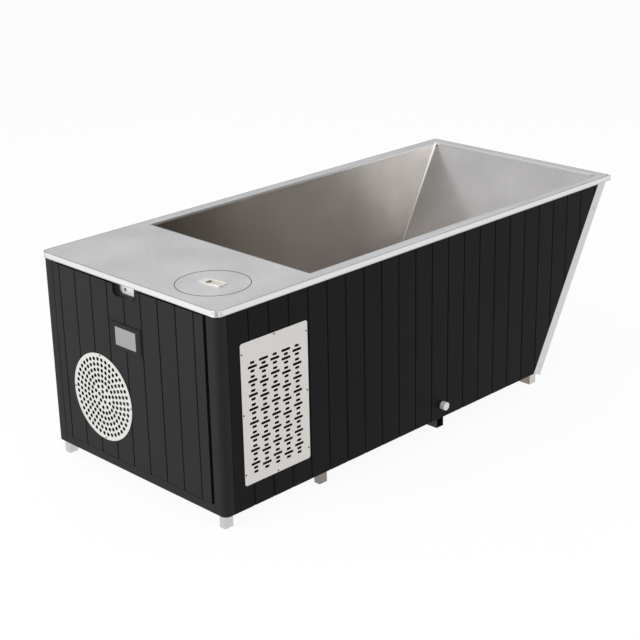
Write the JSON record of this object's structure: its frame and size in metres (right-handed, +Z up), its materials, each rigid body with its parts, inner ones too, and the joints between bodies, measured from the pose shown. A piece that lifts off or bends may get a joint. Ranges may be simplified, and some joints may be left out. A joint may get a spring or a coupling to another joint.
{
  "type": "cold plunge tub",
  "caption": "Cold plunge tub: a stainless well with a sloped head end in black plank cladding, a cooling bay behind a vented door, a display and a filter hatch in the deck.",
  "frame": {"origin": "on the floor, under the middle of the deck", "axes": "+X along the tub from the service door to the sloped head end, +Y to the left of someone facing the door, +Z up"},
  "size_m": [1.8, 0.8225, 0.6633],
  "materials": {
    "stainless": "brushed stainless sheet",
    "plank": "satin black composite plank",
    "black_paint": "satin black paint",
    "core_board": "black sealed board",
    "black_plastic": "moulded",
    "screen": "glossy display cover",
    "foam": "closed-cell foam",
    "rubber": "moulded seal",
    "white_plastic": "moulded",
    "blue_plastic": "moulded",
    "copper": "drawn tube",
    "coil_metal": "mill finish",
    "filter_paper": "pleated"
  },
  "bodies": {
    "tub": {"top_deck": "stainless", "basin": "stainless", "suction_strainer": "stainless", "return_nozzle": "stainless", "floor_drain": "stainless", "drain_pipe": "stainless", "slope_trim_left": "stainless", "slope_trim_right": "stainless", "side_grille": "stainless", "lid_seat": "stainless", "front_left_leg": "stainless", "front_right_leg": "stainless", "middle_left_leg": "stainless", "middle_right_leg": "stainless", "back_rail": "stainless", "strike_plate": "stainless", "bottom_pivot": "stainless", "top_pivot": "stainless", "cladding_right": "plank", "cladding_left": "plank", "front_left_corner": "plank", "front_right_corner": "plank", "door_sill": "plank", "rear_cladding": "plank", "frame_rail_left": "black_paint", "frame_rail_right": "black_paint", "cross_skid": "black_paint", "header_rail": "black_paint", "fan_motor": "black_paint", "compressor": "black_paint", "pump_motor": "black_paint", "fan_shroud": "black_plastic", "pump_volute": "black_plastic", "cable_gland": "black_plastic", "insulation_left": "foam", "insulation_right": "foam", "insulation_base": "foam", "insulation_front": "foam", "heat_exchanger": "white_plastic", "pump_pipe": "white_plastic", "filter_pipe": "white_plastic", "control_box": "white_plastic", "filter_canister": "blue_plastic", "hot_gas_line": "copper", "liquid_line": "copper", "equipment_tray": "coil_metal", "condenser_coil": "coil_metal", "filter_cartridge": "filter_paper"},
    "door": {"door_panel": "plank", "door_core": "core_board", "round_vent": "stainless", "display_housing": "black_plastic", "display_screen": "screen"},
    "lid": {"filter_lid": "stainless", "lid_gasket": "rubber", "lid_pull": "stainless"},
    "drain_seal": {"drain_seal": "rubber"},
    "drain_cap": {"drain_cap": "stainless"},
    "fan": {"fan_rotor": "black_plastic"},
    "impeller": {"pump_impeller": "white_plastic"}
  },
  "joints": [
    {"name": "door_swing", "type": "hinge", "parent": "tub", "child": "door", "pos_m": [-0.8912, 0.3332, 0.35], "axis": [0, 0, -1], "range_deg": [0, 110]},
    {"name": "lid_lift", "type": "slide", "parent": "tub", "child": "lid", "axis": [0, 0, 1], "range_m": [0, 0.12]},
    {"name": "drain_cap_travel", "type": "slide", "parent": "tub", "child": "drain_seal", "axis": [0, -1, 0], "range_m": [0, 0.0057]},
    {"name": "drain_cap_turn", "type": "hinge", "parent": "drain_seal", "child": "drain_cap", "pos_m": [0.025, -0.4, 0.088], "axis": [0, -1, 0], "range_deg": [0, 1080]},
    {"name": "fan_spin", "type": "hinge", "parent": "tub", "child": "fan", "pos_m": [-0.83, 0.139, 0.259], "axis": [1, 0, 0], "continuous": true},
    {"name": "impeller_spin", "type": "hinge", "parent": "tub", "child": "impeller", "pos_m": [-0.6, -0.13, 0.1516], "axis": [1, 0, 0], "continuous": true}
  ],
  "couplings": [
    {"joint": "drain_cap_travel", "follows": "drain_cap_turn", "m_per_rad": 0.0003}
  ]
}
